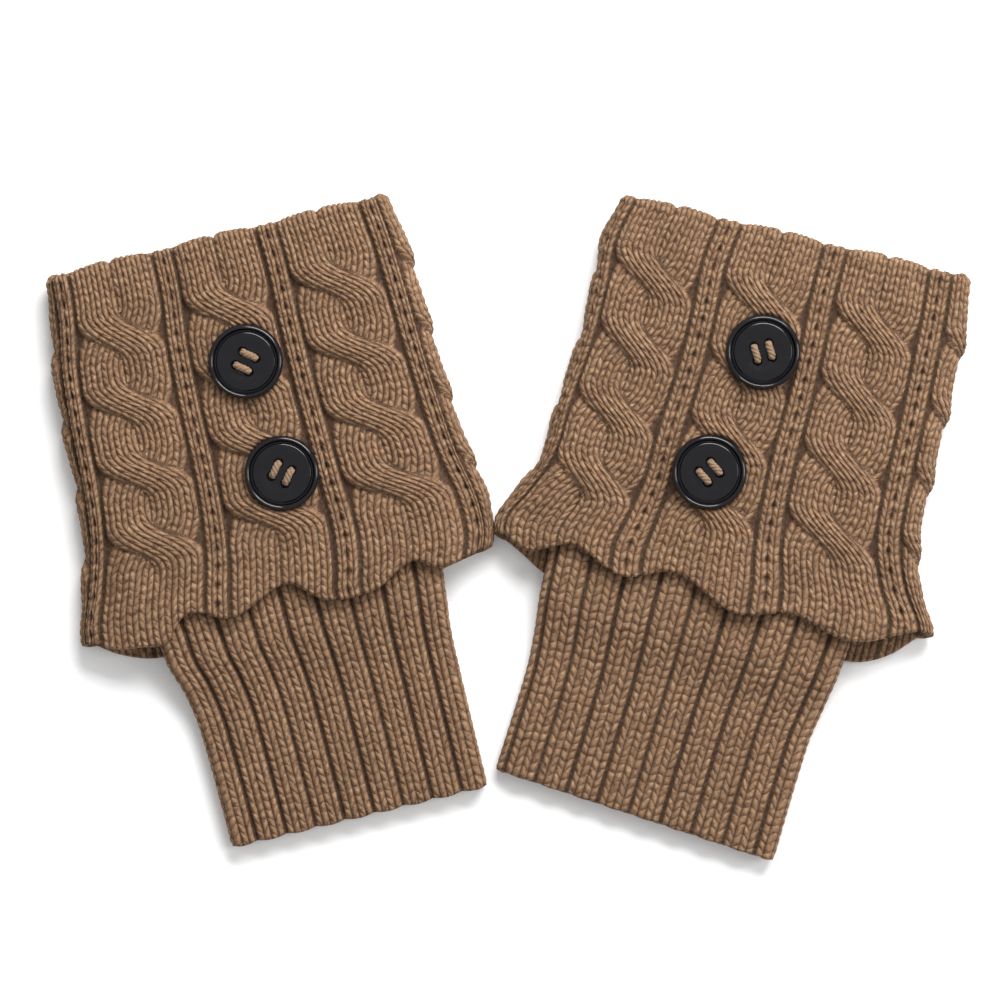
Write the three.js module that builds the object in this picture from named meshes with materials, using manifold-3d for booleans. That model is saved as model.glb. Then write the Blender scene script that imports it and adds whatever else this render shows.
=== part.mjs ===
// A pair of knitted leg warmers lying flat, side by side. Each is a ribbed leg tube whose cable-knit
// cuff is turned down over it from a fold at the top, with two buttons sewn on the cuff's front.
// Millimetres. Each leg warmer is drawn in a frame of its own: x across it, y up its leg, z up off
// the table, with y = 0 at the folded top edge, so "down" is the distance below that edge.
import * as THREE from 'three';
import Module from 'manifold-3d';
import { mergeVertices } from 'three/addons/utils/BufferGeometryUtils.js';

const wasm = await Module();
wasm.setup();

// Driving dimensions: the cloth and how its layers lie on each other.
const cuffWall = 3.0;
const ribWall = 2.4;
const layerGap = 0.4;
const legHollow = 1.0;
const seamGap = 0.3;
const lipDepth = 8;

// The buttons.
const buttonDiameter = 25.4;
const buttonThickness = 4.0;
const buttonHole = { radius: 1.4, pitch: 5.0, sides: 12 };
const buttonSides = 28;

// How finely the cloth is faceted.
const pointsAcross = 20;
const foldPoints = 3;
const turnSteps = 4;

// Heights and radii that follow from them.
const legHeight = 2 * ribWall + legHollow;
const cuffHeight = legHeight + 2 * (cuffWall + layerGap);
const legFloor = cuffWall + layerGap;
const lipInset = cuffWall + layerGap;
const turnRadius = (lipInset + ribWall) / 2;

// place: where the frame lies on the table, and its turn in degrees.
// top and toe: how far down the upper and lower edges lie at the left and right side folds.
// sides: the cuff's side folds at each distance down, and its height off the table there.
// hem: how far down the cuff's front and back hems hang across it, and how far the front one lifts.
// leg: the leg tube's side folds at each distance down. It sinks to the table past the back hem.
const warmers = [
  {
    name: 'left',
    place: { x: -98.6, y: 95.9, turn: 14.1 },
    top: { left: -3.0, right: -2.6 },
    toe: { left: 200.6, right: 201.4 },
    sides: [
      { down: -3, left: -59.8, right: 59.6, height: cuffHeight },
      { down: 12, left: -61.0, right: 61.2, height: cuffHeight },
      { down: 30, left: -64.2, right: 62.0, height: 12.2 },
      { down: 50, left: -65.8, right: 62.4, height: 11.6 },
      { down: 70, left: -66.6, right: 63.2, height: 10.9 },
      { down: 88, left: -68.6, right: 64.6, height: 10.2 },
      { down: 104, left: -73.0, right: 67.4, height: 9.8 },
      { down: 116, left: -77.4, right: 67.4, height: 9.6 },
      { down: 124, left: -78.6, right: 64.8, height: 9.6 },
    ],
    hem: [
      { across: -79, front: 121.0, back: 122.0, lift: 0.6 },
      { across: -72, front: 124.8, back: 126.6, lift: 1.6 },
      { across: -62, front: 126.4, back: 130.6, lift: 2.2 },
      { across: -53, front: 127.2, back: 131.6, lift: 1.2 },
      { across: -44, front: 119.2, back: 131.0, lift: 0.3 },
      { across: -27, front: 124.2, back: 130.0, lift: 1.9 },
      { across: -7, front: 117.6, back: 130.0, lift: 0.2 },
      { across: 8, front: 126.2, back: 130.0, lift: 1.8 },
      { across: 26, front: 126.7, back: 130.0, lift: 2.0 },
      { across: 40, front: 120.5, back: 128.0, lift: 0.3 },
      { across: 51, front: 125.0, back: 125.6, lift: 1.4 },
      { across: 66, front: 122.0, back: 123.0, lift: 0.8 },
    ],
    leg: [
      { down: 5, left: -57.2, right: 57.2 },
      { down: 45, left: -57.0, right: 55.0 },
      { down: 90, left: -54.5, right: 50.5 },
      { down: 134, left: -51.6, right: 46.2 },
      { down: 146, left: -48.2, right: 44.8 },
      { down: 160, left: -46.2, right: 44.3 },
      { down: 202, left: -45.2, right: 43.8 },
    ],
    buttons: [
      { name: 'upper', across: -0.3, down: 41.5, turn: -41.6 },
      { name: 'lower', across: 2.4, down: 81.2, turn: 48.0 },
    ],
  },
  {
    name: 'right',
    place: { x: 95.5, y: 94.2, turn: -15.0 },
    top: { left: -3.6, right: -6.6 },
    toe: { left: 197.0, right: 202.4 },
    sides: [
      { down: -6, left: -58.6, right: 62.6, height: cuffHeight },
      { down: 12, left: -62.2, right: 64.6, height: cuffHeight },
      { down: 30, left: -61.0, right: 65.4, height: 12.2 },
      { down: 50, left: -60.8, right: 66.2, height: 11.6 },
      { down: 70, left: -62.2, right: 66.8, height: 10.9 },
      { down: 88, left: -62.6, right: 68.4, height: 10.2 },
      { down: 102, left: -67.4, right: 74.2, height: 9.8 },
      { down: 113, left: -72.6, right: 81.4, height: 9.6 },
      { down: 123, left: -71.2, right: 82.6, height: 9.6 },
    ],
    hem: [
      { across: -73, front: 117.6, back: 119.4, lift: 0.6 },
      { across: -64, front: 121.6, back: 123.6, lift: 1.4 },
      { across: -56, front: 119.0, back: 127.4, lift: 1.0 },
      { across: -46, front: 115.7, back: 130.0, lift: 0.3 },
      { across: -28, front: 121.7, back: 130.0, lift: 2.0 },
      { across: -8, front: 116.0, back: 130.0, lift: 0.2 },
      { across: 15, front: 124.0, back: 130.0, lift: 2.0 },
      { across: 36, front: 119.2, back: 130.0, lift: 0.3 },
      { across: 53, front: 122.9, back: 130.0, lift: 1.6 },
      { across: 64, front: 121.8, back: 129.2, lift: 2.4 },
      { across: 74, front: 117.2, back: 124.2, lift: 1.8 },
      { across: 83, front: 113.4, back: 115.6, lift: 0.6 },
    ],
    leg: [
      { down: 3, left: -57.4, right: 60.0 },
      { down: 45, left: -55.0, right: 59.6 },
      { down: 90, left: -52.0, right: 57.0 },
      { down: 134, left: -50.2, right: 53.8 },
      { down: 148, left: -48.6, right: 51.8 },
      { down: 162, left: -47.8, right: 49.8 },
      { down: 202, left: -49.4, right: 48.6 },
    ],
    buttons: [
      { name: 'upper', across: 0.8, down: 36.4, turn: -61.5 },
      { name: 'lower', across: -6.3, down: 80.5, turn: -36.0 },
    ],
  },
];

// The stretch below the back hem where the leg tube comes down to the table.
const setDown = { from: 134, to: 154 };
// The front panel lies over the leg tube, and past the tube's edges it sags to the side folds' height.
const sag = { from: 2, to: 14 };
// The front hem's flutes start this far down.
const fluteFrom = 96;

const knit = new THREE.MeshStandardMaterial({ color: 0x9a7550, roughness: 0.95, metalness: 0 });
const ribKnit = new THREE.MeshStandardMaterial({ color: 0x8f6d4c, roughness: 0.95, metalness: 0 });
const blackPlastic = new THREE.MeshStandardMaterial({ color: 0x1b1b1f, roughness: 0.2, metalness: 0 });

// A smooth curve through one column of a table, read by another column.
function column(rows, by, name) {
  const curve = new THREE.CubicInterpolant(rows.map((row) => row[by]), rows.map((row) => row[name]), 1);
  const first = rows[0][by];
  const last = rows[rows.length - 1][by];
  return (value) => curve.evaluate(THREE.MathUtils.clamp(value, first, last))[0];
}

// The points round a flattened tube, starting at the front's left end: along the front, round the
// right side fold, back along the rear panel and round the left side fold. face is 1 on the front
// panel, -1 on the rear one and between them on the folds. end is the fold's side, or 0 on a panel.
function stationsRound() {
  const stations = [];
  const panel = (face) => {
    for (let i = 0; i <= pointsAcross; i += 1) {
      const step = i / pointsAcross;
      stations.push({ face, end: 0, across: face > 0 ? step : 1 - step });
    }
  };
  const fold = (end) => {
    for (let i = 1; i <= foldPoints; i += 1) {
      const angle = Math.PI * (0.5 - i / (foldPoints + 1));
      stations.push({ face: end * Math.sin(angle), end, out: Math.cos(angle), across: end > 0 ? 1 : 0 });
    }
  };
  panel(1);
  fold(1);
  panel(-1);
  fold(-1);
  return stations;
}

const stations = stationsRound();

// One point of a flattened tube's section. size holds left, right, floor, height and the extra rise
// of the front panel at x, and inset is the depth into the cloth from its outer face.
function sectionPoint(station, size, down, inset) {
  const radius = size.height / 2;
  const flat = THREE.MathUtils.lerp(size.left + radius, size.right - radius, station.across);
  const x = flat + station.end * (station.out ?? 0) * (radius - inset);
  const rise = station.face > 0 ? station.face * size.rise(flat) : 0;
  const z = size.floor + radius + station.face * (radius - inset) + rise;
  return new THREE.Vector3(x, -down, z);
}

// A closed wall from rings of points: each ring joins the next, and the last joins the first.
function wallFromRings(rings) {
  const count = rings[0].length;
  const positions = rings.flat().flatMap((point) => point.toArray());
  const faces = [];
  for (let r = 0; r < rings.length; r += 1) {
    const next = (r + 1) % rings.length;
    for (let i = 0; i < count; i += 1) {
      const j = (i + 1) % count;
      const [a, b, c, d] = [r * count + i, r * count + j, next * count + j, next * count + i];
      faces.push(a, b, d, b, c, d);
    }
  }
  const geometry = new THREE.BufferGeometry();
  geometry.setAttribute('position', new THREE.Float32BufferAttribute(positions, 3));
  geometry.setIndex(faces);
  geometry.computeVertexNormals();
  return geometry;
}

// The lower or upper edge of a tube that slopes evenly from its left side to its right side.
function slope(edge, station) {
  return THREE.MathUtils.lerp(edge.left, edge.right, station.across);
}

// The size of the cuff's section at a distance down.
function cuffShape(warmer) {
  const side = {
    left: column(warmer.sides, 'down', 'left'),
    right: column(warmer.sides, 'down', 'right'),
    height: column(warmer.sides, 'down', 'height'),
  };
  const leg = { left: column(warmer.leg, 'down', 'left'), right: column(warmer.leg, 'down', 'right') };
  const lift = column(warmer.hem, 'across', 'lift');
  return (down) => {
    const height = side.height(down);
    const flute = THREE.MathUtils.smoothstep(down, fluteFrom, warmer.hem[0].back);
    const rise = (x) => {
      const past = Math.max(leg.left(down) - x, x - leg.right(down));
      const overLeg = 1 - THREE.MathUtils.smoothstep(past, sag.from, sag.to);
      return (cuffHeight - height) * overLeg + lift(x) * flute;
    };
    return { left: side.left(down), right: side.right(down), floor: 0, height, rise };
  };
}

// The cuff's outer layer, its rounded fold at the top and the short lip that runs down inside.
function cuffGeometry(warmer) {
  const shape = cuffShape(warmer);
  const hem = { front: column(warmer.hem, 'across', 'front'), back: column(warmer.hem, 'across', 'back') };
  const hemDown = (station) => {
    const x = THREE.MathUtils.lerp(warmer.sides.at(-1).left, warmer.sides.at(-1).right, station.across);
    return THREE.MathUtils.lerp(hem.back(x), hem.front(x), (station.face + 1) / 2);
  };
  // Each ring is a share of the way from the fold's springing to the hem, or a point on the turn.
  const ring = (share, inset, ahead = 0) => stations.map((station) => {
    const spring = slope(warmer.top, station) + turnRadius;
    const down = THREE.MathUtils.lerp(spring, hemDown(station), share) + ahead;
    return sectionPoint(station, shape(down), down, inset);
  });
  const rings = [];
  for (const share of [1, 0.9, 0.78, 0.62, 0.46, 0.3, 0.14, 0]) rings.push(ring(share, 0));
  for (let i = 1; i < turnSteps; i += 1) {
    const angle = Math.PI * i / turnSteps;
    rings.push(ring(0, turnRadius * (1 - Math.cos(angle)), -turnRadius * Math.sin(angle)));
  }
  rings.push(ring(0, 2 * turnRadius));
  rings.push(ring(0, 2 * turnRadius, lipDepth));
  rings.push(ring(0, lipInset, lipDepth));
  rings.push(ring(0, lipInset));
  rings.push(ring(0, cuffWall));
  for (const share of [0.14, 0.46, 0.78, 1]) rings.push(ring(share, cuffWall));
  return wallFromRings(rings);
}

// The ribbed leg: one tube that starts under the cuff's lip, runs down inside the cuff and out.
function legGeometry(warmer) {
  const left = column(warmer.leg, 'down', 'left');
  const right = column(warmer.leg, 'down', 'right');
  const ring = (share, inset) => stations.map((station) => {
    const start = slope(warmer.top, station) + turnRadius + lipDepth + seamGap;
    const down = THREE.MathUtils.lerp(start, slope(warmer.toe, station), share);
    const floor = legFloor * (1 - THREE.MathUtils.smoothstep(down, setDown.from, setDown.to));
    const size = { left: left(down), right: right(down), floor, height: legHeight, rise: () => 0 };
    return sectionPoint(station, size, down, inset);
  });
  const rings = [];
  for (const share of [1, 0.85, 0.74, 0.7, 0.655, 0.55, 0.3, 0]) rings.push(ring(share, 0));
  for (const share of [0, 0.3, 0.655, 0.7, 0.74, 1]) rings.push(ring(share, ribWall));
  return wallFromRings(rings);
}

// A solid for manifold-3d from a closed geometry, with its shared vertices merged.
function solidOf(geometry) {
  const bare = new THREE.BufferGeometry();
  bare.setAttribute('position', geometry.getAttribute('position'));
  bare.setIndex(geometry.getIndex());
  const merged = mergeVertices(bare, 1e-4);
  return new wasm.Manifold(new wasm.Mesh({
    numProp: 3,
    vertProperties: Float32Array.from(merged.getAttribute('position').array),
    triVerts: Uint32Array.from(merged.getIndex().array),
  }));
}

function geometryOf(solid) {
  const mesh = solid.getMesh();
  const geometry = new THREE.BufferGeometry();
  geometry.setAttribute('position', new THREE.Float32BufferAttribute(mesh.vertProperties, 3));
  geometry.setIndex(Array.from(mesh.triVerts));
  geometry.computeVertexNormals();
  return geometry;
}

// A four-hole coat button: a rounded raised rim, a groove inside it and a shallow dished face.
function buttonGeometry() {
  const edge = buttonDiameter / 2;
  const face = buttonThickness - 0.9;
  const profile = [
    [0, 0],
    [edge - 2.0, 0],
    [edge - 0.6, 0.7],
    [edge, 2.0],
    [edge - 0.25, 3.2],
    [edge - 0.9, buttonThickness],
    [edge - 1.5, buttonThickness],
    [edge - 2.4, face - 0.5],
    [edge - 3.0, face],
    [6.6, face],
    [5.2, face - 0.5],
    [0, face - 0.6],
  ].map(([radius, height]) => new THREE.Vector2(radius, height));
  let button = solidOf(new THREE.LatheGeometry(profile, buttonSides).rotateX(Math.PI / 2));
  const drill = new THREE.CylinderGeometry(
    buttonHole.radius, buttonHole.radius, 3 * buttonThickness, buttonHole.sides,
  ).rotateX(Math.PI / 2);
  for (const x of [-0.5, 0.5]) {
    for (const y of [-0.5, 0.5]) {
      const hole = drill.clone().translate(x * buttonHole.pitch, y * buttonHole.pitch, 0);
      button = button.subtract(solidOf(hole));
    }
  }
  return geometryOf(button);
}

function named(name, geometry, material) {
  const mesh = new THREE.Mesh(geometry, material);
  mesh.name = name;
  return mesh;
}

const pair = new THREE.Group();
const buttonShape = buttonGeometry();

for (const warmer of warmers) {
  const group = new THREE.Group();
  group.position.set(warmer.place.x, warmer.place.y, 0);
  group.rotation.z = THREE.MathUtils.degToRad(warmer.place.turn);
  group.add(named(`${warmer.name}_cuff`, cuffGeometry(warmer), knit));
  group.add(named(`${warmer.name}_leg`, legGeometry(warmer), ribKnit));
  for (const button of warmer.buttons) {
    const mesh = named(`${warmer.name}_button_${button.name}`, buttonShape, blackPlastic);
    mesh.position.set(button.across, -button.down, cuffHeight + seamGap);
    mesh.rotation.z = THREE.MathUtils.degToRad(button.turn);
    group.add(mesh);
  }
  pair.add(group);
}

// The origin is the middle of the pair's footprint, on the table.
pair.updateMatrixWorld(true);
const footprint = new THREE.Box3().setFromObject(pair, true).getCenter(new THREE.Vector3());
pair.position.set(-footprint.x, -footprint.y, 0);

export default pair;
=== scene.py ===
import bpy
import bmesh
import math
import numpy as np
from mathutils import Matrix, Vector


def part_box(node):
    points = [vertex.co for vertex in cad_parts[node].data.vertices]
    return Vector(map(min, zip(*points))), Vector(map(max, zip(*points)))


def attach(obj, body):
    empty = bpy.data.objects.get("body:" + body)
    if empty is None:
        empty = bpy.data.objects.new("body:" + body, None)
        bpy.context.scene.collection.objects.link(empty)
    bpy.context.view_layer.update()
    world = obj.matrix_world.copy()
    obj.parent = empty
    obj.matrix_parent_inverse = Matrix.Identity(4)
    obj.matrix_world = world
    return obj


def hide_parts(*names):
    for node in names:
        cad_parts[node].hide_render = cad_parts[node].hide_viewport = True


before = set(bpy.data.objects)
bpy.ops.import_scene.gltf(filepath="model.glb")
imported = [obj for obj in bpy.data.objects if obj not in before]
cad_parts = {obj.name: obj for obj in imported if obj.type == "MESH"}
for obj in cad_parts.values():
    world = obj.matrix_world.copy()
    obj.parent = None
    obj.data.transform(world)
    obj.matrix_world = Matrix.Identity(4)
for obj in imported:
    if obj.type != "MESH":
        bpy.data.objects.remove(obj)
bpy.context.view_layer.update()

mm = 0.001

# Sizes are in mm. Each leg warmer is drawn across (x) and down from its folded top edge, as its solids are.
cloth = {
    "cuffWall": 3.0,
    "ribWall": 2.4,
    "layerGap": 0.4,
    "legHollow": 1.0,
    "lipDepth": 8.0,
    "rearLimit": -0.05,      # the rear panels are pressed flat on the table
}
cloth["legHeight"] = 2 * cloth["ribWall"] + cloth["legHollow"]
cloth["cuffHeight"] = cloth["legHeight"] + 2 * (cloth["cuffWall"] + cloth["layerGap"])
cloth["turnRadius"] = (cloth["cuffWall"] + cloth["layerGap"] + cloth["ribWall"]) / 2

warmers = [
    {
        "name": "left",
        "button": "left_button_upper",
        "turn": 14.1,
        "top": (-3.0, -2.6),
        "toe": (200.6, 201.4),
        "sides": {
            "down": (-3, 12, 30, 50, 70, 88, 104, 116, 124),
            "left": (-59.8, -61.0, -64.2, -65.8, -66.6, -68.6, -73.0, -77.4, -78.6),
            "right": (59.6, 61.2, 62.0, 62.4, 63.2, 64.6, 67.4, 67.4, 64.8),
            "height": (12.6, 12.6, 12.2, 11.6, 10.9, 10.2, 9.8, 9.6, 9.6),
        },
        "hem": {
            "across": (-79, -72, -62, -53, -44, -27, -7, 8, 26, 40, 51, 66),
            "front": (121.0, 124.8, 126.4, 127.2, 119.2, 124.2, 117.6, 126.2, 126.7, 120.5, 125.0, 122.0),
            "back": (122.0, 126.6, 130.6, 131.6, 131.0, 130.0, 130.0, 130.0, 130.0, 128.0, 125.6, 123.0),
            "lift": (0.6, 1.6, 2.2, 1.2, 0.3, 1.9, 0.2, 1.8, 2.0, 0.3, 1.4, 0.8),
        },
        "leg": {
            "down": (5, 45, 90, 134, 146, 160, 202),
            "left": (-57.2, -57.0, -54.5, -51.6, -48.2, -46.2, -45.2),
            "right": (57.2, 55.0, 50.5, 46.2, 44.8, 44.3, 43.8),
        },
        "cableAt": -1.0,
        "ribAt": 0.5,
        "buttons": {
            "upper": {"across": -0.3, "down": 41.5, "turn": -41.6},
            "lower": {"across": 2.4, "down": 81.2, "turn": 48.0},
        },
    },
    {
        "name": "right",
        "button": "right_button_upper",
        "turn": -15.0,
        "top": (-3.6, -6.6),
        "toe": (197.0, 202.4),
        "sides": {
            "down": (-6, 12, 30, 50, 70, 88, 102, 113, 123),
            "left": (-58.6, -62.2, -61.0, -60.8, -62.2, -62.6, -67.4, -72.6, -71.2),
            "right": (62.6, 64.6, 65.4, 66.2, 66.8, 68.4, 74.2, 81.4, 82.6),
            "height": (12.6, 12.6, 12.2, 11.6, 10.9, 10.2, 9.8, 9.6, 9.6),
        },
        "hem": {
            "across": (-73, -64, -56, -46, -28, -8, 15, 36, 53, 64, 74, 83),
            "front": (117.6, 121.6, 119.0, 115.7, 121.7, 116.0, 124.0, 119.2, 122.9, 121.8, 117.2, 113.4),
            "back": (119.4, 123.6, 127.4, 130.0, 130.0, 130.0, 130.0, 130.0, 130.0, 129.2, 124.2, 115.6),
            "lift": (0.6, 1.4, 1.0, 0.3, 2.0, 0.2, 2.0, 0.3, 1.6, 2.4, 1.8, 0.6),
        },
        "leg": {
            "down": (3, 45, 90, 134, 148, 162, 202),
            "left": (-57.4, -55.0, -52.0, -50.2, -48.6, -47.8, -49.4),
            "right": (60.0, 59.6, 57.0, 53.8, 51.8, 49.8, 48.6),
        },
        "cableAt": -4.7,
        "ribAt": 0.2,
        "buttons": {
            "upper": {"across": 0.8, "down": 36.4, "turn": -61.5},
            "lower": {"across": -6.3, "down": 80.5, "turn": -36.0},
        },
    },
]
setDown = {"from": 134.0, "to": 154.0}
sag = {"from": 2.0, "to": 14.0}
fluteFrom = 96.0
girthAt = 170.0


def smooth(value, low, high):
    t = np.clip((value - low) / (high - low), 0, 1)
    return t * t * (3 - 2 * t)


def curveThrough(at, values):
    # a smooth curve through a table's rows, flat past its ends
    at = np.array(at, float)
    values = np.array(values, float)
    slopes = np.gradient(values)/np.gradient(at)

    def read(where):
        where = np.clip(where, at[0], at[-1])
        i = np.clip(np.searchsorted(at, where) - 1, 0, len(at) - 2)
        width = at[i + 1] - at[i]
        t = (where - at[i])/width
        return ((2*t**3 - 3*t**2 + 1)*values[i] + (t**3 - 2*t**2 + t)*width*slopes[i]
                + (3*t**2 - 2*t**3)*values[i + 1] + (t**3 - t**2)*width*slopes[i + 1])
    return read


def stationsRound(straight, radius, step):
    # mesh columns round a flattened tube: front panel, right fold, rear panel, left fold
    panelCount = int(straight/step)
    foldCount = int(math.pi*radius/step)
    along = np.linspace(0, 1, panelCount + 1)
    angles = math.pi*(0.5 - np.arange(1, foldCount + 1)/(foldCount + 1))
    zeros = np.zeros(panelCount + 1)
    bend = math.pi*radius
    return {
        "across": np.concatenate([along, np.ones(foldCount), 1 - along, np.zeros(foldCount)]),
        "face": np.concatenate([zeros + 1, np.sin(angles), zeros - 1, -np.sin(angles)]),
        "end": np.concatenate([zeros, np.ones(foldCount), zeros, -np.ones(foldCount)]),
        "out": np.concatenate([zeros, np.cos(angles), zeros, np.cos(angles)]),
        "round": np.concatenate([
            (along - 0.5)*straight,
            straight/2 + (0.5 - angles/math.pi)*bend,
            straight/2 + bend + along*straight,
            1.5*straight + bend + (0.5 - angles/math.pi)*bend]),
        "girth": 2*straight + 2*bend,
    }


def sectionPoints(stations, size, down, inset):
    # size holds left, right, floor, height and rise(x); inset is the depth under the outer face
    radius = size["height"]/2
    flat = size["left"] + radius + (size["right"] - size["left"] - 2*radius)*stations["across"]
    x = flat + stations["end"]*stations["out"]*(radius - inset)
    rise = np.maximum(stations["face"], 0)*size["rise"](flat)
    z = size["floor"] + radius + stations["face"]*(radius - inset) + rise
    return np.stack([x, -down, z], axis=-1)


noWale = 20.5       # stands for knit with no stitches of its own


def stitch(wale, course):
    # a knit stitch is two yarn legs in a V, its point downwards; 1 on the yarn's crown, 0 between
    b = np.abs(2*(wale - np.floor(wale)) - 1)
    c = course + 0.55*b
    leg = np.sqrt(np.clip(1 - (2*b - 1)**2, 0, 1))
    return leg**0.8*(0.2 + 0.8*np.sqrt(np.abs(np.sin(math.pi*c))))


def arch(s):
    return np.sqrt(np.clip(1 - s*s, 0, 1))**0.8


def unevenCourse(around, q):
    # rows wander by up to a quarter of a stitch; whole turns of around, so that they meet again
    return 0.13*np.sin(13*around + 0.23*q) + 0.10*np.sin(37*around - 0.41*q + 1.7)


cableKnit = {
    "repeats": 7,            # cables round the cuff
    "cableWidth": 28.6,      # eight wales, four to a strand
    "purlWidth": 0.8,        # the sunk purl wale at each side of the ladder rib
    "courseHeight": 2.96,
    "firstCross": 27.1,
    "crossEvery": 23.7,      # eight courses from one crossing to the next
    "crossings": 4,
    "crossSpan": 0.40,       # share of that taken by a crossing, each way
    "crossReach": 0.28,      # how near a crossing its lift and spread are felt
    "crossLift": 1.5,
    "crossSpread": 0.28,
    "underShift": 0.28,      # how far the strands beneath move over, in half widths
    "underSink": 0.5,
    "strandRise": 2.9,
    "plainShare": 0.8,       # height of plain knit beside a strand's
    "groundShare": 0.55,     # and of the knit that fills in between strands
    "cableFrom": (7, 17),    # the cable grows out of plain knit below the fold
    "cableTo": (108, 116),   # and goes back to it above the hem
    "foldCrease": (1.3, 1.1, 3, 10),     # depth, width, and where it fades
    "ladderRise": 1.75,
    "ladderEvery": 6.2,      # a hole in the ladder rib at about every second course
    "hole": (1.9, 0.8),      # depth, radius
    "slit": (0.3, 0.5),      # the line between the ladder rib's two wales: depth, half width
    "purlRise": 0.3,
    "stitchRelief": 0.85,
    "base": -2.1,            # the purl ground, under the solid's face
    "columnStep": 0.62,      # spacing of mesh columns and rows
    "rowStep": 0.60,
    "shownRows": 200,
}


def cuffRelief(x, q, pitch, around):
    # x is the distance from a cable's middle and q from the fold's crown
    k = cableKnit
    half = k["cableWidth"]/2
    ribHalf = pitch/2 - half - k["purlWidth"]
    course = q/k["courseHeight"] + unevenCourse(around, q)
    xn = x/half
    inCable = np.abs(xn) < 1

    # three strands, where delta is the distance to the nearest crossing: one swings over two
    p = (q - k["firstCross"])/k["crossEvery"]
    delta = p - np.clip(np.round(p), 0, k["crossings"] - 1)
    w = k["crossSpan"]
    near = np.exp(-(delta/k["crossReach"])**2)
    wide = 0.5*(1 + k["crossSpread"]*near)
    sf = (xn + 0.5*np.cos(math.pi*np.clip((delta + w)/(2*w), 0, 1)))/wide
    s1 = (xn - 0.5 + k["underShift"]*smooth(delta, -w, 0.15))/wide
    s2 = (xn + 0.22 + k["underShift"]*smooth(delta, -0.15, w))/wide
    front = k["strandRise"]*arch(sf) + k["crossLift"]*near*arch(sf)
    under1 = k["strandRise"]*arch(s1)*(1 - 0.8*smooth(delta, -0.1, 0.25)) - k["underSink"]*near
    under2 = k["strandRise"]*arch(s2)*smooth(delta, -0.25, 0.1) - k["underSink"]*near
    strands = np.maximum(np.maximum(front, under1), under2)
    pick = np.where(front >= np.maximum(under1, under2), 0, np.where(under1 >= under2, 1, 2))
    wale = np.clip((np.choose(pick, [sf, s1, s2]) + 1)*2, 0.001, 3.999)

    # plain knit near the fold and the hem
    cabled = smooth(q, *k["cableFrom"])*(1 - smooth(q, *k["cableTo"]))
    plainArch = k["strandRise"]*k["plainShare"]*np.clip(1 - xn*xn, 0, 1)**0.4
    plainWale = ((np.clip(xn, -0.999, 0.999) + 1)*4) % 4
    strands = np.maximum(strands, k["groundShare"]*plainArch)
    cable = plainArch*(1 - cabled) + strands*cabled
    wale = np.where(cabled > 0.5, wale, plainWale)
    creaseDepth, creaseWidth, creaseFrom, creaseTo = k["foldCrease"]
    cable = cable - creaseDepth*np.exp(-(x/creaseWidth)**2)*(1 - smooth(np.abs(q), creaseFrom, creaseTo))
    cableStitch = stitch(wale, course)

    # the ladder rib lies half a repeat away
    r = pitch/2 - np.abs(x)
    rn = np.clip(r/ribHalf, 0, 1)
    holeDepth, holeRadius = k["hole"]
    slitDepth, slitWidth = k["slit"]
    ladder = k["ladderRise"]*np.sqrt(np.clip(1 - 0.85*rn**2, 0, 1))
    pit = np.exp(-(r/holeRadius)**2)*(0.5 + 0.5*np.cos(2*math.pi*q/k["ladderEvery"]))**1.5
    ladder = ladder - holeDepth*pit - slitDepth*np.exp(-(r/slitWidth)**2)
    ribWale = 9 + np.clip(rn, 0.001, 0.999)*np.where(x > 0, -1, 1)
    inRib = r < ribHalf
    ribStitch = stitch(ribWale, course)

    bump = np.abs(np.sin(math.pi*course))
    shade = np.where(inCable, cableStitch, np.where(inRib, ribStitch, 0.1))
    high = np.where(inCable, cable, np.where(inRib, ladder, k["purlRise"]*bump))
    high = high + k["stitchRelief"]*shade + k["base"]
    wale = np.where(inCable, wale, np.where(inRib, ribWale, noWale))
    # low is the painted shade in the hollows, and the purl ground gets painted shade only between its bumps;
    # the ladder's holes are painted dark as well
    low = np.clip(1.1 - (high - k["base"])/1.5, 0, 1)*np.where(inCable, 1, 0.8 - 0.5*bump)
    low = np.maximum(low, np.where(inRib, 1.1*pit, 0))
    return high, wale, course, np.clip(low, 0, 1)


ribKnit = {
    "ribs": 18,
    "valleyShare": 0.07,
    "rise": 1.5,
    "valleyRise": 0.25,
    "courseHeight": 3.2,
    "stitchRelief": 0.62,
    "base": -0.9,
    "showFrom": 112.0,       # the rows are fine from here to the toe, and few inside the cuff
    "shownRows": 180,
    "columnStep": 0.5,
    "toeScallop": (0.9, 0.6),      # each rib's end stands out, and the whole edge is drawn back
}


def legRelief(x, q, pitch, around):
    k = ribKnit
    xn = (x/pitch) - np.floor(x/pitch)
    across = np.abs(2*xn - 1)       # 0 on the rib's middle
    edge = 1 - k["valleyShare"]
    rib = np.clip(1 - (across/edge)**2, 0, 1)**0.36
    course = q/k["courseHeight"] + unevenCourse(around, q)
    wale = np.clip((2*xn - 1)/edge, -0.999, 0.999) + 1
    inRib = across < edge
    shade = np.where(inRib, stitch(wale, course), 0.05)
    high = k["rise"]*rib + k["stitchRelief"]*shade + k["base"]
    high = high + np.where(inRib, 0, k["valleyRise"]*np.abs(np.sin(math.pi*course)))
    # low is the painted shade in the rib's valleys and between stitches: the lower the knit, the darker
    low = np.clip(1 - (high - k["base"])/0.8, 0, 1)
    return high, np.where(inRib, wale, noWale), course, low


def placeOf(warmer):
    # the leg warmer's own frame on the table, found from its upper button
    low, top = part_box(warmer["button"])
    spot = warmer["buttons"]["upper"]
    turn = Matrix.Rotation(math.radians(warmer["turn"]), 4, "Z")
    middle = (Vector(low) + Vector(top))/2
    shift = middle - turn @ Vector((spot["across"]*mm, -spot["down"]*mm, 0))
    shift.z = 0
    return Matrix.Translation(shift) @ turn


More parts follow.
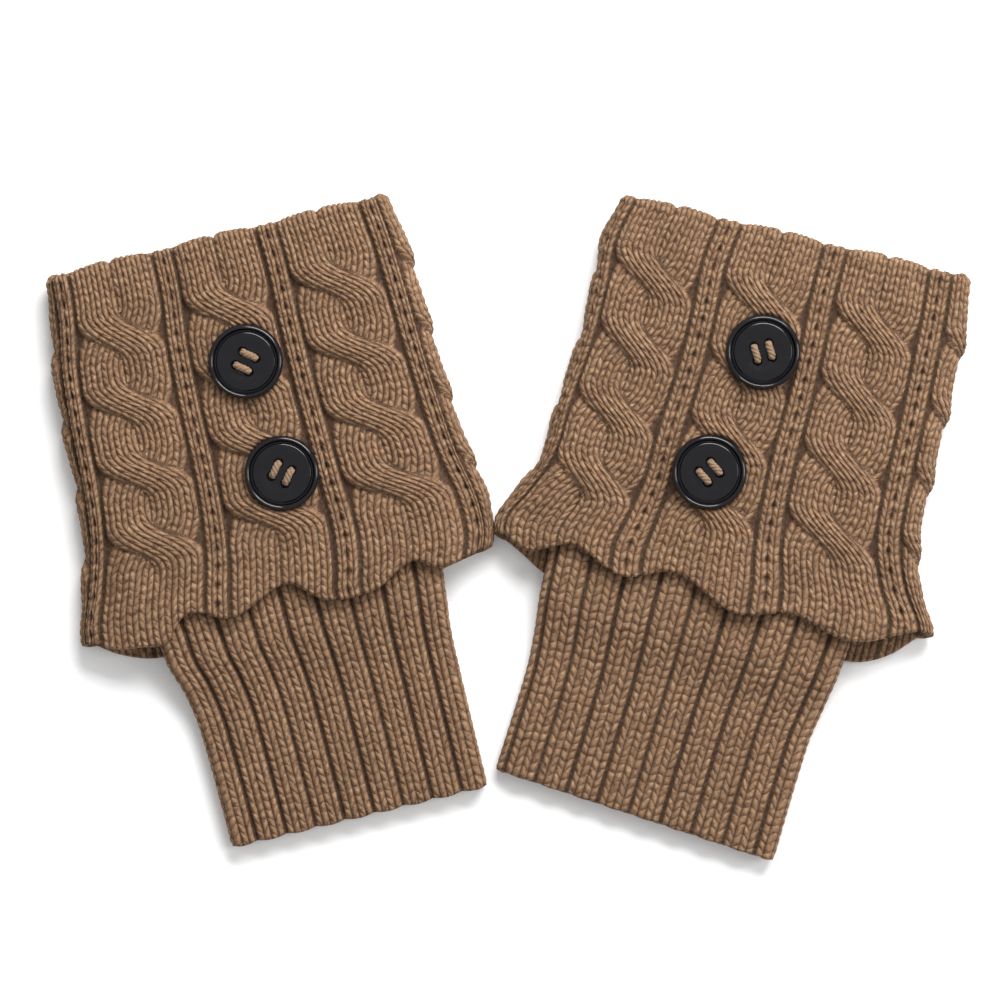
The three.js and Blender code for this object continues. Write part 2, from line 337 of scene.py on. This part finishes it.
def wallMesh(name, rings, place, material):
    # rings: a list of (points in mm, wale, course, low), low being the amount of painted shade; each joins
    # the next and the last the first
    count = len(rings[0][0])
    points = np.concatenate([ring[0] for ring in rings])*mm
    flat = np.array(place)
    points = points @ flat[:3, :3].T + flat[:3, 3]
    r = np.arange(len(rings))[:, None]
    i = np.arange(count)[None, :]
    a = r*count + i
    b = r*count + (i + 1) % count
    c = ((r + 1) % len(rings))*count + (i + 1) % count
    d = ((r + 1) % len(rings))*count + i
    quads = np.stack([a, b, c, d], axis=-1).reshape(-1, 4)
    mesh = bpy.data.meshes.new(name)
    mesh.vertices.add(len(points))
    mesh.vertices.foreach_set("co", points.astype(np.float32).ravel())
    mesh.loops.add(quads.size)
    mesh.loops.foreach_set("vertex_index", quads.astype(np.int32).ravel())
    mesh.polygons.add(len(quads))
    mesh.polygons.foreach_set("loop_start", np.arange(0, quads.size, 4, dtype=np.int32))
    mesh.polygons.foreach_set("use_smooth", np.ones(len(quads), dtype=bool))
    mesh.update(calc_edges=True)
    mesh.validate()
    uv = mesh.uv_layers.new(name="stitches")
    wales = np.concatenate([ring[1] for ring in rings])
    courses = np.concatenate([ring[2] for ring in rings])
    corners = quads.ravel()
    pairs = np.stack([wales[corners], courses[corners]], axis=-1)
    uv.data.foreach_set("uv", pairs.astype(np.float32).ravel())
    # the amount of painted shade in the knit's hollows, read by the yarn material
    paintedShade = mesh.attributes.new("paintedShade", "FLOAT", "POINT")
    paintedShade.data.foreach_set("value", np.concatenate([ring[3] for ring in rings]).astype(np.float32))
    mesh.materials.append(material)
    piece = bpy.data.objects.new(name, mesh)
    bpy.context.collection.objects.link(piece)
    return piece


def curvesOf(table, at, keys):
    return {key: curveThrough(table[at], table[key]) for key in keys}


def edgeAcross(ends, stations):
    return ends[0] + (ends[1] - ends[0])*stations["across"]


def innerFace():
    # from the lip to the hem: share of the way down, depth under the outer face, and how much further down
    c = cloth
    lip = c["cuffWall"] + c["layerGap"]
    lipInner = 2*c["turnRadius"]
    rows = [(0, lipInner, 0), (0, lipInner, c["lipDepth"]), (0, lip, c["lipDepth"]), (0, lip, 0)]
    rows += [(0, c["cuffWall"], 0)]
    rows += [(share, c["cuffWall"] - 0.25, 0) for share in (0.1, 0.25, 0.4, 0.55, 0.7, 0.8, 0.9, 0.96, 1)]
    return rows + [(1, c["cuffWall"]*0.5, 0.7)]


def cuffPiece(warmer, material):
    c = cloth
    k = cableKnit
    side = curvesOf(warmer["sides"], "down", ("left", "right", "height"))
    leg = curvesOf(warmer["leg"], "down", ("left", "right"))
    hem = curvesOf(warmer["hem"], "across", ("front", "back", "lift"))
    topWidth = float(side["right"](0) - side["left"](0))
    stations = stationsRound(topWidth - c["cuffHeight"], c["cuffHeight"]/2, k["columnStep"])
    pitch = stations["girth"]/k["repeats"]
    around = 2*math.pi*stations["round"]/stations["girth"]
    x = (stations["round"] - warmer["cableAt"] + pitch/2) % pitch - pitch/2
    hemAt = edgeAcross((warmer["sides"]["left"][-1], warmer["sides"]["right"][-1]), stations)
    hemDown = hem["back"](hemAt) + (hem["front"](hemAt) - hem["back"](hemAt))*(stations["face"] + 1)/2
    spring = edgeAcross(warmer["top"], stations) + c["turnRadius"]
    crown = c["turnRadius"]*math.pi/2
    rings = []

    def sizeAt(down):
        height = side["height"](down)
        flute = smooth(down, fluteFrom, warmer["hem"]["back"][0])

        def rise(at):
            past = np.maximum(leg["left"](down) - at, at - leg["right"](down))
            overLeg = 1 - smooth(past, sag["from"], sag["to"])
            return (c["cuffHeight"] - height)*overLeg + hem["lift"](at)*flute

        return {"left": side["left"](down), "right": side["right"](down), "floor": 0, "height": height,
                "rise": rise}

    def relief(size, down, inset, q, weight):
        high, wale, course, low = cuffRelief(x, q, pitch, around)
        high = high*weight
        # the knit is pressed down under each button
        at = sectionPoints(stations, size, down, inset)
        for spot in warmer["buttons"].values():
            apart = np.hypot(at[:, 0] - spot["across"], at[:, 1] + spot["down"])
            edge = button["diameter"]/2
            clear = smooth(apart, edge - button["press"], edge + button["press"]*2)
            limit = button["dent"] + button["freeRise"]*clear
            high = np.where(stations["face"] > 0.9, np.minimum(high, limit), high)
        high = np.where(stations["face"] < -0.5, np.minimum(high, c["rearLimit"]), high)
        return high, wale, course, low

    def addRing(down, inset, q, weight):
        size = sizeAt(down)
        high, wale, course, low = relief(size, down, inset, q, weight)
        rings.append((sectionPoints(stations, size, down, inset - high), wale, course, low))

    def addTurnRing(turn, weight):
        # over the fold at the top, from the outer face to the lip
        size = sizeAt(spring)
        q = np.full_like(x, crown - c["turnRadius"]*turn)
        high, wale, course, low = relief(size, spring, 0.0, q, weight)
        radius = c["turnRadius"] + high
        points = sectionPoints(
            stations, size, spring - radius*math.sin(turn), c["turnRadius"] - radius*math.cos(turn))
        rings.append((points, wale, course, low))

    for share in np.linspace(1, 0, k["shownRows"]):
        down = spring + (hemDown - spring)*share
        addRing(down, 0.0, down - spring + crown, 1 - 0.35*smooth(share, 0.985, 1))
    turnRows = int(math.pi*c["turnRadius"]/k["rowStep"])
    for i in range(1, turnRows):
        turn = math.pi*i/turnRows
        addTurnRing(turn, 1 - 0.8*smooth(turn, 1.4, 3.0))
    for share, inset, more in innerFace():
        down = spring + (hemDown - spring)*share + more
        addRing(down, inset, down - spring + crown, 0)
    piece = wallMesh(warmer["name"] + "_cuff_knit", rings, placeOf(warmer), material)
    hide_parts(warmer["name"] + "_cuff")
    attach(piece, "root")
    return piece, stations["girth"]


def legPiece(warmer, material):
    c = cloth
    k = ribKnit
    leg = curvesOf(warmer["leg"], "down", ("left", "right"))
    width = float(leg["right"](girthAt) - leg["left"](girthAt))
    stations = stationsRound(width - c["legHeight"], c["legHeight"]/2, k["columnStep"])
    pitch = stations["girth"]/k["ribs"]
    around = 2*math.pi*stations["round"]/stations["girth"]
    x = stations["round"] + pitch*warmer["ribAt"]
    start = edgeAcross(warmer["top"], stations) + c["turnRadius"] + c["lipDepth"] + 0.3
    # each rib ends in a soft scallop
    bump = np.abs(2*((x/pitch) % 1) - 1)
    standOut, drawBack = k["toeScallop"]
    toe = edgeAcross(warmer["toe"], stations) + standOut*(1 - bump**2) - drawBack
    rings = []

    def addRing(down, inset, weight):
        floor = (c["cuffWall"] + c["layerGap"])*(1 - smooth(down, setDown["from"], setDown["to"]))
        size = {"left": leg["left"](down), "right": leg["right"](down), "floor": floor,
                "height": c["legHeight"], "rise": np.zeros_like}
        high, wale, course, low = legRelief(x, down, pitch, around)
        high = high*weight
        high = np.where(stations["face"] < -0.5, np.minimum(high, c["rearLimit"]), high)
        rings.append((sectionPoints(stations, size, down, inset - high), wale, course, low))

    for share in np.linspace(0, 1, k["shownRows"])[::-1]:
        addRing(k["showFrom"] + (toe - k["showFrom"])*share, 0.0, 1.0 - 0.3*smooth(share, 0.98, 1))
    for share in (0.75, 0.5, 0.25, 0):
        addRing(start + (k["showFrom"] - start)*share, 0.0, 0.3)
    for share in (0, 0.25, 0.5, 0.62, 0.66, 0.7, 0.74, 0.8, 0.9, 0.97, 1):
        addRing(start + (toe - start)*share, c["ribWall"] - 0.1, 0)
    addRing(toe + 0.5, c["ribWall"]*0.5, 0)
    piece = wallMesh(warmer["name"] + "_leg_knit", rings, placeOf(warmer), material)
    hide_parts(warmer["name"] + "_leg")
    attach(piece, "root")
    return piece, stations["girth"]


def linear(hexColor):
    # sRGB hex to the linear colour that a shader takes
    values = [int(hexColor[i:i + 2], 16)/255 for i in (1, 3, 5)]
    return [v/12.92 if v <= 0.04045 else ((v + 0.055)/1.055)**2.4 for v in values] + [1.0]


def newMaterial(name):
    material = bpy.data.materials.new(name)
    material.use_nodes = True
    material.node_tree.nodes.clear()
    return material, material.node_tree


def addNode(tree, kind, settings=None, inputs=None):
    # one node with its settings, and its inputs given as values or as another node's socket
    node = tree.nodes.new("ShaderNode" + kind)
    for key, value in (settings or {}).items():
        setattr(node, key, value)
    for key, value in (inputs or {}).items():
        if isinstance(value, bpy.types.NodeSocket):
            tree.links.new(value, node.inputs[key])
        else:
            node.inputs[key].default_value = value
    return node


def mathNode(tree, operation, first, second=0.0, third=0.0):
    return addNode(tree, "Math", {"operation": operation}, {0: first, 1: second, 2: third}).outputs[0]


def mixColors(tree, amount, first, second, blend="MIX"):
    node = addNode(tree, "Mix", {"data_type": "RGBA", "blend_type": blend}, {0: amount, 6: first, 7: second})
    return node.outputs[2]


def noise(tree, where, size, detail, roughness=0.5):
    # size is in mm
    return addNode(tree, "TexNoise", None, {
        "Vector": where, "Scale": 1000/size, "Detail": detail, "Roughness": roughness}).outputs[0]


def mapRange(tree, value, low, high, toLow, toHigh):
    return addNode(tree, "MapRange", None, {0: value, 1: low, 2: high, 3: toLow, 4: toHigh}).outputs[0]


def finished(material, tree, inputs):
    shader = addNode(tree, "BsdfPrincipled", None, inputs)
    out = addNode(tree, "OutputMaterial")
    tree.links.new(shader.outputs[0], out.inputs[0])
    return material


acrylicYarn = {
    "crown": "#86684f",      # painted highlight: paler where the yarn stands up to the light
    "body": "#6e523b",
    "paintedShade": "#2b1a17",     # painted shade between the stitches and in the knit's hollows, warm purple brown
    "fleck": "#a08468",      # pale fibres of the heather
    "darkFleck": "#4a3026",
    "stitchDepth": 0.75,     # mm, added to the stitches' own form
    "fibreDepth": 0.10,
    "fibreSize": 0.9,        # mm, drawn coarser than real fibres so that they show
    "fleckSize": 1.7,
    "blotchSize": 9.0,
    "sheenTint": "#c9a98a",
}


def yarnMaterial(name, shift):
    # heathered acrylic yarn, spun and knitted: matt, fuzzy, brown with paler and darker fibres, with painted
    # highlight on the stitches' crowns and painted shade in the gaps and hollows
    k = acrylicYarn
    material, tree = newMaterial(name)
    where = addNode(tree, "TexCoord").outputs["Object"]
    uv = addNode(tree, "UVMap", {"uv_map": "stitches"}).outputs[0]
    parts = addNode(tree, "SeparateXYZ", None, {0: uv})
    inWale = mathNode(tree, "FRACT", parts.outputs[0])
    across = mathNode(tree, "ABSOLUTE", mathNode(tree, "MULTIPLY_ADD", inWale, 2.0, -1.0))
    course = mathNode(tree, "MULTIPLY_ADD", across, 0.55, parts.outputs[1])
    bead = mathNode(tree, "ABSOLUTE", mathNode(tree, "SINE", mathNode(tree, "MULTIPLY", course, math.pi)))
    offLeg = mathNode(tree, "MULTIPLY_ADD", across, 2.0, -1.0)
    leg = mathNode(tree, "SUBTRACT", 1.0, mathNode(tree, "MULTIPLY", offLeg, offLeg))
    plump = mathNode(tree, "MULTIPLY_ADD", mathNode(tree, "SQRT", bead), 0.7, 0.3)
    crown = mathNode(tree, "MULTIPLY", leg, plump)
    paintedShade = addNode(tree, "Attribute", {"attribute_name": "paintedShade"}).outputs["Fac"]
    # loose fibres, pale and dark flecks, and slow changes of tone
    fibres = noise(tree, where, k["fibreSize"], 3.0, 0.6)
    blotch = noise(tree, where, k["blotchSize"], 2.0, 0.5)
    fleck = noise(tree, where, k["fleckSize"], 3.0, 0.65)
    # painted highlight: the stitches' crowns are painted in the paler crown colour
    body = mixColors(tree, mathNode(tree, "POWER", crown, 0.8), linear(k["body"]), linear(k["crown"]))
    body = mixColors(tree, mapRange(tree, fleck, 0.53, 0.68, 0.0, 0.8), body, linear(k["fleck"]))
    body = mixColors(tree, mapRange(tree, fleck, 0.47, 0.33, 0.0, 0.75), body, linear(k["darkFleck"]))
    tone = mapRange(tree, blotch, 0.3, 0.7, 0.92*shift, 1.12*shift)
    body = addNode(tree, "VectorMath", {"operation": "SCALE"}, {0: body, "Scale": tone}).outputs[0]
    # painted shade: the gaps between stitches and the knit's hollows are darkened
    standing = mathNode(tree, "SMOOTH_MIN", mathNode(tree, "MULTIPLY", crown, 2.2), 1.0, 0.2)
    sunk = mathNode(tree, "MULTIPLY", mathNode(tree, "SUBTRACT", 1.0, standing), 0.75)
    paintedShadeAmount = mathNode(tree, "MULTIPLY", mathNode(tree, "POWER", paintedShade, 1.6), 0.8)
    paintedShadeAmount = mathNode(tree, "MINIMUM", mathNode(tree, "MAXIMUM", sunk, paintedShadeAmount), 0.92)
    color = mixColors(tree, paintedShadeAmount, body, linear(k["paintedShade"]))
    stitchBump = addNode(tree, "Bump", None, {
        "Strength": 1.0, "Distance": k["stitchDepth"]*mm, "Height": crown})
    fibreBump = addNode(tree, "Bump", None, {
        "Strength": 0.8, "Distance": k["fibreDepth"]*mm, "Height": fibres, "Normal": stitchBump.outputs[0]})
    return finished(material, tree, {
        "Base Color": color, "Roughness": 0.92, "IOR": 1.49, "Specular IOR Level": 0.25, "Sheen Weight": 0.18,
        "Sheen Roughness": 0.5, "Sheen Tint": linear(k["sheenTint"]), "Normal": fibreBump.outputs[0]})


polyester = {
    "color": "#08080b",
    "haze": "#101015",
    "hazeSize": 4.0,
    "hazeDepth": 0.02,
    "roughness": (0.10, 0.2),
}


def buttonMaterial():
    # black polyester button, cast and polished: a clear hard gloss with a faint haze
    k = polyester
    material, tree = newMaterial("polishedBlackPolyester")
    haze = noise(tree, addNode(tree, "TexCoord").outputs["Object"], k["hazeSize"], 3.0)
    color = mixColors(tree, haze, linear(k["color"]), linear(k["haze"]))
    bump = addNode(tree, "Bump", None, {"Strength": 0.15, "Distance": k["hazeDepth"]*mm, "Height": haze})
    return finished(material, tree, {
        "Base Color": color, "Roughness": mapRange(tree, haze, 0.3, 0.7, *k["roughness"]), "IOR": 1.54,
        "Specular IOR Level": 0.36, "Normal": bump.outputs[0]})


twistedYarn = {"dark": "#5c4230", "pale": "#a08262", "fibreSize": 0.5, "fibreDepth": 0.1}


def threadMaterial():
    # the same acrylic yarn, used to sew the buttons on: plain twisted plies
    k = twistedYarn
    material, tree = newMaterial("twistedSewingYarn")
    fibres = noise(tree, addNode(tree, "TexCoord").outputs["Object"], k["fibreSize"], 3.0)
    color = mixColors(tree, fibres, linear(k["dark"]), linear(k["pale"]))
    bump = addNode(tree, "Bump", None, {"Strength": 0.7, "Distance": k["fibreDepth"]*mm, "Height": fibres})
    return finished(material, tree, {
        "Base Color": color, "Roughness": 0.9, "Sheen Weight": 0.25, "Normal": bump.outputs[0]})


def deselectAll():
    bpy.ops.object.select_all(action="DESELECT")


button = {
    "diameter": 25.4,
    "thickness": 4.0,
    "faceDepth": 0.9,        # the face lies this far under the rim
    "sides": 96,
    "holeRadius": 1.4,
    "holeSides": 32,
    "pitch": 5.0,
    "dishDepth": 0.85,       # at the holes, under the face
    "seat": 0.3,
    "press": 1.5,            # the knit is pressed down from this far inside its edge to twice as far outside
    "dent": 0.1,             # how high the knit may stand under it
    "freeRise": 5.0,         # and how much higher beside it
}
# how far in from the edge and how high, from the back's rim round to the groove in the face
buttonRim = [
    (2.2, 0), (1.1, 0.25), (0.45, 0.9), (0.1, 1.6), (0, 2.2), (0.1, 2.8),
    (0.3, 3.4), (0.7, 3.85), (1.05, 4.0), (1.4, 3.85), (1.7, 3.4),
]
# how far in from the edge and how high above the face
buttonGroove = [(1.9, -0.3), (2.15, -0.7), (2.5, -0.7), (2.75, -0.25), (2.95, -0.06), (3.3, 0)]
# radius and height above the face
buttonDish = [(7.4, 0), (6.4, -0.1), (5.4, -0.4), (4.2, -0.55), (2.0, -0.6)]
# each step of the drill: how far up, and how many times as wide
drillFlares = [(0.18, 1.08), (0.14, 1.14), (0.6, 1.3)]


def drillHole(piece, x, y):
    # the drill flares at the face, which rounds the hole's rim
    depth = 4.0
    top = button["thickness"] - button["faceDepth"] - button["dishDepth"]
    deselectAll()
    bpy.ops.mesh.primitive_cylinder_add(
        vertices=button["holeSides"], radius=button["holeRadius"]*mm, depth=depth*mm,
        location=(x*mm, y*mm, (top - depth/2)*mm))
    drill = bpy.context.active_object
    bpy.ops.object.mode_set(mode="EDIT")
    bpy.ops.mesh.select_mode(type="FACE")
    bpy.ops.mesh.select_all(action="DESELECT")
    edited = bmesh.from_edit_mesh(drill.data)
    for polygon in edited.faces:
        polygon.select = polygon.normal.z > 0.9
    bmesh.update_edit_mesh(drill.data)
    for rise, flare in drillFlares:
        bpy.ops.mesh.extrude_region_move(TRANSFORM_OT_translate={"value": (0, 0, rise*mm)})
        bpy.ops.transform.resize(value=(flare, flare, 1))
    bpy.ops.object.mode_set(mode="OBJECT")
    hole = piece.modifiers.new("hole", "BOOLEAN")
    hole.operation = "DIFFERENCE"
    hole.object = drill
    deselectAll()
    bpy.context.view_layer.objects.active = piece
    bpy.ops.object.modifier_apply(modifier=hole.name)
    bpy.data.objects.remove(drill)


def modelButton(material):
    # a disc drawn out ring by ring into its rim, groove and dished face, then drilled
    edge = button["diameter"]/2
    face = button["thickness"] - button["faceDepth"]
    profile = [(edge - inward, height) for inward, height in buttonRim]
    profile += [(edge - inward, face + height) for inward, height in buttonGroove]
    profile += [(radius, face + height) for radius, height in buttonDish]
    deselectAll()
    bpy.ops.mesh.primitive_circle_add(vertices=button["sides"], radius=profile[0][0]*mm, fill_type="NGON")
    piece = bpy.context.active_object
    bpy.ops.object.mode_set(mode="EDIT")
    bpy.ops.mesh.select_all(action="SELECT")
    radius, height = profile[0]
    for nextRadius, nextHeight in profile[1:]:
        bpy.ops.mesh.extrude_region_move(TRANSFORM_OT_translate={"value": (0, 0, (nextHeight - height)*mm)})
        bpy.ops.transform.resize(value=(nextRadius/radius, nextRadius/radius, 1))
        radius, height = nextRadius, nextHeight
    bpy.ops.mesh.select_all(action="SELECT")
    bpy.ops.mesh.normals_make_consistent(inside=False)
    bpy.ops.object.mode_set(mode="OBJECT")
    half = button["pitch"]/2
    for x in (-half, half):
        for y in (-half, half):
            drillHole(piece, x, y)
    deselectAll()
    piece.select_set(True)
    bpy.context.view_layer.objects.active = piece
    bpy.ops.object.shade_smooth_by_angle(angle=math.radians(35))
    piece.data.materials.clear()
    piece.data.materials.append(material)
    return piece


def tubeAlong(path, radius, sides=8):
    # points and faces of a closed tube round a path, in mm
    points = []
    faces = []
    for i, spot in enumerate(path):
        ahead = path[min(i + 1, len(path) - 1)] - path[max(i - 1, 0)]
        ahead.normalize()
        sideways = ahead.cross(Vector((0.31, 0.95, 0.05))).normalized()
        up = sideways.cross(ahead)
        for j in range(sides):
            angle = 2*math.pi*j/sides
            points.append(spot + radius*(math.cos(angle)*sideways + math.sin(angle)*up))
    for i in range(len(path) - 1):
        for j in range(sides):
            k = (j + 1) % sides
            faces.append((i*sides + j, i*sides + k, (i + 1)*sides + k, (i + 1)*sides + j))
    faces.append(tuple(reversed(range(sides))))
    faces.append(tuple(range((len(path) - 1)*sides, len(path)*sides)))
    return points, faces


sewingYarn = {
    "plies": 3,
    "plyRadius": 0.62,
    "twist": 1.6,            # turns of the plies from end to end
    "steps": 26,
    "rise": 0.7,             # how far each bar bows up
    "above": 0.55,           # and its height over the dished face before that
    "reach": 0.9,            # how far along the holes' spacing it goes
    "flatShare": 0.72,       # share of its length between the holes
    "dive": (0.62, 3.2, 1.4),      # where it turns down, how far, and how sharply
}


def sewingBar(y):
    # the middle line of one bar: up through one hole, over the face and down the next
    k = sewingYarn
    dished = button["thickness"] - 1.5
    half = button["pitch"]/2
    diveFrom, diveDepth, diveCurve = k["dive"]
    middle = []
    for i in range(k["steps"] + 1):
        t = i/k["steps"]*2 - 1
        x = half*math.copysign(min(abs(t)/k["flatShare"], 1), t)
        drop = max(0, (abs(t) - diveFrom)/(1 - diveFrom))
        z = dished + k["above"] + k["rise"]*(1 - (t*0.9)**2) - diveDepth*drop**diveCurve
        middle.append(Vector((x*k["reach"], y + 0.12*math.sin(3*t), z)))
    return middle


def sewingPiece(name, place, material):
    # two bars of yarn, each of three plies
    k = sewingYarn
    half = button["pitch"]/2
    mesh = bpy.data.meshes.new(name)
    allPoints = []
    allFaces = []
    for y in (-half, half):
        middle = sewingBar(y)
        for ply in range(k["plies"]):
            path = []
            for i, spot in enumerate(middle):
                ahead = (middle[min(i + 1, len(middle) - 1)] - middle[max(i - 1, 0)]).normalized()
                sideways = ahead.cross(Vector((0, 1, 0.2))).normalized()
                up = sideways.cross(ahead)
                angle = 2*math.pi*(ply/k["plies"] + i/k["steps"]*k["twist"])
                path.append(spot + k["plyRadius"]*(math.cos(angle)*sideways + math.sin(angle)*up))
            points, faces = tubeAlong(path, k["plyRadius"])
            start = len(allPoints)
            allPoints += points
            allFaces += [tuple(start + index for index in corners) for corners in faces]
    mesh.from_pydata([place @ (point*mm) for point in allPoints], [], allFaces)
    mesh.update()
    edited = bmesh.new()
    edited.from_mesh(mesh)
    bmesh.ops.recalc_face_normals(edited, faces=edited.faces)
    edited.to_mesh(mesh)
    edited.free()
    for polygon in mesh.polygons:
        polygon.use_smooth = True
    mesh.materials.append(material)
    piece = bpy.data.objects.new(name, mesh)
    bpy.context.collection.objects.link(piece)
    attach(piece, "root")
    return piece


studio = {
    "frameWidth": 0.340,     # what the picture takes in, at the cloth's height
    "clothHeight": 0.012,
    "sensor": 36.0,
    "lens": 200.0,
    "below": 0.029,          # the picture's middle is this far below the middle of the buttons
    "world": 0.58,
    "floorSize": 6,
    "floorDrop": 0.0004,
    "paper": ("#fbfbfb", "#ffffff"),
    "paperGrain": 900.0,
}
softboxes = [
    {"name": "softboxTop", "size": (0.9, 0.5), "energy": 21, "location": (0.3, 0.85, 0.75)},
    {"name": "softboxRight", "size": (0.4, 0.8), "energy": 5, "location": (1.1, 0.1, 0.6)},
]


def areaLight(box):
    data = bpy.data.lights.new(box["name"], "AREA")
    data.shape = "RECTANGLE"
    data.size, data.size_y = box["size"]
    data.energy = box["energy"]
    lamp = bpy.data.objects.new(box["name"], data)
    lamp.location = box["location"]
    lamp.rotation_euler = (-Vector(box["location"])).to_track_quat("-Z", "Y").to_euler()
    bpy.context.collection.objects.link(lamp)


def setCamera():
    boxes = [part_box(f"{w['name']}_button_{which}") for w in warmers for which in w["buttons"]]
    middle = sum(((Vector(low) + Vector(top))/2 for low, top in boxes), Vector())/len(boxes)
    data = bpy.data.cameras.new("above")
    data.lens = studio["lens"]
    data.sensor_width = studio["sensor"]
    data.clip_end = 20
    camera = bpy.data.objects.new("above", data)
    height = studio["frameWidth"]*studio["lens"]/studio["sensor"] + studio["clothHeight"]
    camera.location = (middle.x, middle.y - studio["below"], height)
    bpy.context.collection.objects.link(camera)
    bpy.context.scene.camera = camera


def setFloor():
    deselectAll()
    bpy.ops.mesh.primitive_plane_add(size=studio["floorSize"], location=(0, 0, -studio["floorDrop"]))
    floor = bpy.context.active_object
    floor.name = "whiteTable"
    material, tree = newMaterial("whitePaper")
    where = addNode(tree, "TexCoord").outputs["Object"]
    grain = addNode(tree, "TexNoise", None, {"Vector": where, "Scale": studio["paperGrain"]})
    darker, paler = studio["paper"]
    color = mixColors(tree, grain.outputs[0], linear(darker), linear(paler))
    floor.data.materials.append(finished(material, tree, {"Base Color": color, "Roughness": 0.9}))
    return floor


def setStudio():
    setCamera()
    world = bpy.data.worlds.new("softRoom")
    world.use_nodes = True
    world.node_tree.nodes["Background"].inputs[0].default_value = (1, 1, 1, 1)
    world.node_tree.nodes["Background"].inputs[1].default_value = studio["world"]
    bpy.context.scene.world = world
    for box in softboxes:
        areaLight(box)
    bpy.context.scene.view_settings.view_transform = "Standard"
    return setFloor()


print("studio")
floor = setStudio()

print("materials")
cableYarn = yarnMaterial("heatheredAcrylicCable", 1.0)
ribYarn = yarnMaterial("heatheredAcrylicRib", 0.95)
polished = buttonMaterial()
sewing = threadMaterial()

print("button")
pattern = modelButton(polished)

for warmer in warmers:
    print("knitting", warmer["name"])
    leg, legGirth = legPiece(warmer, ribYarn)
    cuff, cuffGirth = cuffPiece(warmer, cableYarn)
    # the girths are taken where each tube is narrow, and it is a little wider elsewhere
    place = placeOf(warmer)
    for which, spot in warmer["buttons"].items():
        seatHeight = cloth["cuffHeight"] + button["seat"]
        local = Matrix.Translation(Vector((spot["across"], -spot["down"], seatHeight))*mm)
        local = place @ local @ Matrix.Rotation(math.radians(spot["turn"]), 4, "Z")
        node = f"{warmer['name']}_button_{which}"
        copy = pattern.copy()
        copy.data = pattern.data.copy()
        copy.name = node + "_polished"
        copy.data.transform(local)
        bpy.context.collection.objects.link(copy)
        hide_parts(node)
        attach(copy, "root")
        sewingPiece(node + "_yarn", local, sewing)

bpy.data.objects.remove(pattern)
print("finishing")
